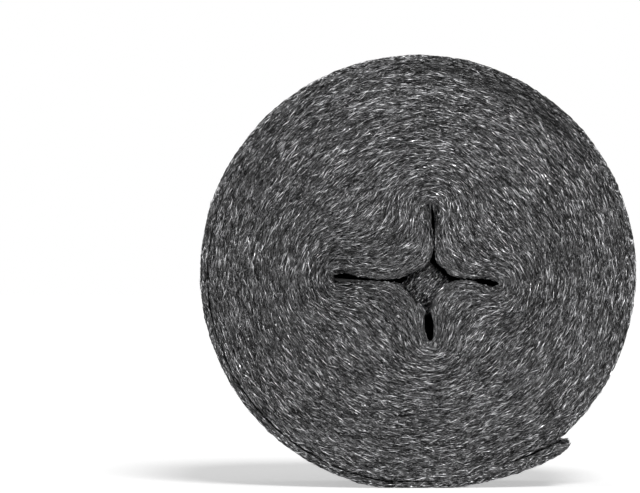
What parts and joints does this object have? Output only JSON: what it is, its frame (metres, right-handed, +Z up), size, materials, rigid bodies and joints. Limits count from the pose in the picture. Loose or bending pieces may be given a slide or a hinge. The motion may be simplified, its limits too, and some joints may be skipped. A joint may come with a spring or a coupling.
{
  "type": "steel wool roll",
  "caption": "Roll of steel wool ribbon standing on its rim, its core pushed in to a cross of slits and its loose end under it, cut off for scouring, polishing or plugging gaps.",
  "frame": {"origin": "middle of the flat spot that the roll stands on, at the bottom centre of its bounding box", "axes": "+X to the right as the pictured face is seen, +Y from that face to the far one along the roll's axis, +Z up"},
  "size_m": [0.2, 0.08, 0.199],
  "materials": {
    "steel_wool": "felted fine steel fibre, dark grey with small bright glints along the winding"
  },
  "bodies": {
    "root": {"wool_roll": "steel_wool"}
  },
  "joints": []
}
